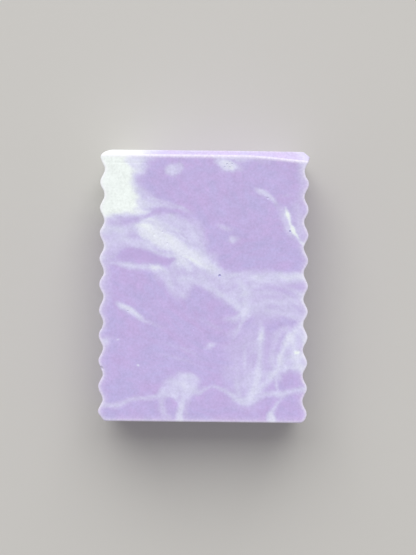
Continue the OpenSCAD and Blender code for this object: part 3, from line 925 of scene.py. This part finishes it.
class Nodes:
    """Adds nodes to a material. A method that adds one gives back its output."""

    def __init__(self, material):
        material.use_nodes = True
        self.tree = material.node_tree
        self.shader = self.tree.nodes["Principled BSDF"]

    def put(self, socket, value):
        """Link another node's output to the socket, or set the socket's own value."""
        if isinstance(value, bpy.types.NodeSocket):
            self.tree.links.new(value, socket)
        else:
            socket.default_value = value

    def add(self, kind, values, output=0, **options):
        made = self.tree.nodes.new(kind)
        for name, option in options.items():
            setattr(made, name, option)
        for key, value in values.items():
            self.put(made.inputs[key], value)
        return made.outputs[output]

    def math(self, operation, *values, clamp=False):
        numbered = dict(enumerate(values))
        return self.add("ShaderNodeMath", numbered, operation=operation, use_clamp=clamp)

    def attribute(self, name):
        return self.add("ShaderNodeAttribute", {}, "Vector", attribute_name=name)

    def parts(self, vector):
        """The three numbers of a vector, each as an output."""
        made = self.tree.nodes.new("ShaderNodeSeparateXYZ")
        self.put(made.inputs[0], vector)
        return made.outputs

    def scaled(self, vector, factors):
        return self.add("ShaderNodeVectorMath", {0: vector, 1: factors}, operation="MULTIPLY")

    def noise(self, vector, scale, detail=2.0, roughness=0.5):
        values = {"Vector": vector, "Scale": scale, "Detail": detail, "Roughness": roughness}
        return self.add("ShaderNodeTexNoise", values, "Fac")

    def swing(self, noise, size):
        """A noise output turned into a number from -size to size."""
        return self.math("MULTIPLY_ADD", noise, 2 * size, -size)

    def ramp(self, value, low, high, out_low=0.0, out_high=1.0, smooth_step=True):
        """Takes a value between low and high to one between out_low and out_high."""
        kind = "SMOOTHSTEP" if smooth_step else "LINEAR"
        values = {0: value, 1: low, 2: high, 3: out_low, 4: out_high}
        return self.add("ShaderNodeMapRange", values, interpolation_type=kind)

    def mix(self, share, a, b):
        """Colour a where the share is 0, and b where it is 1."""
        made = self.tree.nodes.new("ShaderNodeMix")
        made.data_type = "RGBA"
        self.put(made.inputs[0], share)
        self.put(made.inputs[6], a)
        self.put(made.inputs[7], b)
        return made.outputs[2]


def whiteness(nodes, grain_at):
    """How white the soap is, and how much lavender lies over the white in streams."""
    area, shape, level = nodes.parts(nodes.attribute("white"))
    wisps = nodes.noise(nodes.scaled(grain_at, (0.22, 1.0, 0.4)), 0.55, 4, 0.6)
    feather = nodes.noise(nodes.scaled(grain_at, (0.5, 1.0, 0.6)), 1.3, 3, 0.6)
    ragged = nodes.math("ADD", nodes.swing(wisps, WISPS), nodes.swing(feather, FEATHER))
    cover = nodes.ramp(nodes.math("ADD", shape, ragged), 0, 1)
    patchy = nodes.math("MULTIPLY", level, nodes.math("MULTIPLY_ADD", ragged, 0.22, 1.0))
    gain = nodes.math("MAXIMUM", nodes.math("SUBTRACT", patchy, area), 0)
    white = nodes.math("MULTIPLY_ADD", gain, cover, area)
    over_shape, over_level, _ = nodes.parts(nodes.attribute("lavender"))
    over = nodes.ramp(nodes.math("ADD", over_shape, nodes.math("MULTIPLY", ragged, 0.6)), 0, 1)
    over = nodes.math("MULTIPLY", over, over_level)
    white = nodes.math("MULTIPLY", white, nodes.math("SUBTRACT", 1, over))
    # the streaks show most where the two soaps are half mixed
    mixed = nodes.math("MULTIPLY", white, nodes.math("SUBTRACT", 1, white, clamp=True))
    share = nodes.math("MULTIPLY_ADD", mixed, MIXED_SHARE, PLAIN_SHARE)
    return nodes.math("MULTIPLY_ADD", ragged, share, white, clamp=True), over


def soap_tint(nodes, grain_at):
    """The lavender of the soap, bluer and pinker from place to place."""
    wide = nodes.ramp(nodes.noise(grain_at, 0.09, 2), 0.35, 0.65)
    drawn_out = nodes.scaled(grain_at, (0.6, 1, 1))
    patch = nodes.ramp(nodes.noise(drawn_out, 0.4, 3, 0.6), 0.36, 0.64)
    tint = nodes.math("MULTIPLY_ADD", patch, 0.5, nodes.math("MULTIPLY", wide, 0.5))
    return nodes.mix(tint, LAVENDER_BLUE, LAVENDER_PINK)


def soap_bump(nodes, place):
    """The cutter's fine upright marks on the sides, and a fine grain on the faces."""
    marks = nodes.noise(nodes.scaled(place, (1, 1, 0.05)), 1 / MARK_SIZE, 3, 0.6)
    grit = nodes.noise(place, 1 / GRIT_SIZE, 2, 0.6)
    height = nodes.math("MULTIPLY_ADD", grit, 0.35, marks)
    bump = {"Strength": 0.35, "Distance": BUMP_DEPTH, "Height": height}
    return nodes.add("ShaderNodeBump", bump)


def soap_material():
    """Lavender soap, white soap where the marbling says so, and painted highlights along the edges and
    on the planed faces, with a partly real burr.
    """
    material = bpy.data.materials.new("marbled_soap")
    nodes = Nodes(material)
    grain_at = nodes.attribute("grain")
    place = nodes.add("ShaderNodeTexCoord", {}, "Object")
    white, over = whiteness(nodes, grain_at)

    colour = soap_tint(nodes, grain_at)
    start = 0.0
    for stop, step_colour in WHITE_STEPS:
        share = nodes.ramp(white, start, stop, smooth_step=False)
        colour = nodes.mix(share, colour, step_colour)
        start = stop
    speckle = nodes.noise(place, 1 / SPECKLE_SIZE, 3, 0.7)
    mottle = nodes.noise(place, 1 / MOTTLE_SIZE, 3, 0.6)
    light = nodes.math("ADD", nodes.swing(speckle, SPECKLE), nodes.swing(mottle, MOTTLE))
    along = nodes.parts(place)[1]
    ends = nodes.ramp(along, -40 * MM, 40 * MM, NEAR_LIGHT, FAR_LIGHT)
    light = nodes.math("ADD", light, ends)
    colour = nodes.scaled(colour, light)
    colour = nodes.mix(nodes.math("MULTIPLY", over, 0.4), colour, PURPLE)
    # painted highlights along the edges and on the planed faces, and the partly real burr, mixed in as
    # pale colour
    _, _, highlight_and_burr = nodes.parts(nodes.attribute("lavender"))
    highlight_and_burr_share = nodes.math("MULTIPLY", highlight_and_burr, nodes.ramp(speckle, 0.3, 0.7, 0.6, 1.0))
    colour = nodes.mix(highlight_and_burr_share, colour, HIGHLIGHT_AND_BURR_WHITE)

    nodes.put(nodes.shader.inputs["Base Color"], colour)
    nodes.put(nodes.shader.inputs["Roughness"], nodes.ramp(mottle, 0.2, 0.8, 0.4, 0.5))
    nodes.put(nodes.shader.inputs["Normal"], soap_bump(nodes, place))
    return material


def finish_pieces(pieces):
    """Shade and marble the pieces, and say what each one rides on and replaces."""
    soap = soap_material()
    for node, piece in pieces.items():
        shade(piece)
        store(piece)
        piece.data.materials.clear()
        piece.data.materials.append(soap)
        piece.data.polygons.foreach_set("material_index", [0] * len(piece.data.polygons))
        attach(piece, "root")
        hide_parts(node)


# ---- The studio: a pale floor, a soft lamp behind the planed end, and the camera ----

# The lamp's size and place are metres
SKY_STRENGTH = 0.42
FLOOR_HALF = 9000.0
FLOOR_COLOUR = (0.58, 0.565, 0.54, 1)
LAMP_WIDTH = 4.4
LAMP_HEIGHT = 4.1
LAMP_POWER = 160
LAMP_PLACE = (-0.25, 2.68, 2.68)
LAMP_TILT = math.radians(-45)
# The camera looks straight down. It sees this length of the upper face's plane.
VIEW_HEIGHT = 168.2
VIEW_MIDDLE = (1.12, 2.62)
VIEW_TURN = math.radians(0.6)
LENS = 75
SENSOR = 36


def sky():
    """Even white light from all around."""
    world = bpy.data.worlds.new("studio")
    bpy.context.scene.world = world
    world.use_nodes = True
    background = world.node_tree.nodes["Background"]
    background.inputs["Color"].default_value = (1, 1, 1, 1)
    background.inputs["Strength"].default_value = SKY_STRENGTH


def paper_material():
    """Dull pale paper."""
    material = bpy.data.materials.new("floor_paper")
    material.use_nodes = True
    shader = material.node_tree.nodes["Principled BSDF"]
    shader.inputs["Base Color"].default_value = FLOOR_COLOUR
    shader.inputs["Roughness"].default_value = 0.9
    shader.inputs["Specular IOR Level"].default_value = 0.15
    return material


def floor():
    """The floor that the bar lies on."""
    corners = [(-1, -1, 0), (1, -1, 0), (1, 1, 0), (-1, 1, 0)]
    made = mesh_object("floor", FLOOR_HALF * np.array(corners), np.array([[0, 1, 2, 3]]))
    made.data.materials.append(paper_material())


def lamp():
    """The soft light of a window behind the planed end."""
    light = bpy.data.lights.new("window", "AREA")
    light.shape = "RECTANGLE"
    light.size = LAMP_WIDTH
    light.size_y = LAMP_HEIGHT
    light.energy = LAMP_POWER
    window = placed("window", light)
    window.location = LAMP_PLACE
    window.rotation_euler = (LAMP_TILT, 0, 0)
    window.visible_camera = False


def camera():
    """The photograph's view, from straight above."""
    lens = bpy.data.cameras.new("camera")
    lens.lens = LENS
    lens.sensor_width = SENSOR
    eye = placed("camera", lens)
    distance = VIEW_HEIGHT / 2 * LENS / (SENSOR / 2)
    eye.location = np.array([*VIEW_MIDDLE, THICK + distance]) * MM
    eye.rotation_euler = (0, 0, VIEW_TURN)
    bpy.context.scene.camera = eye


def studio():
    """Set the scene up around the bar."""
    bpy.context.scene.view_settings.view_transform = "Standard"
    sky()
    floor()
    lamp()
    camera()


bar = dented(detailed_bar())
pieces = split(bar)
finish_pieces(pieces)
studio()
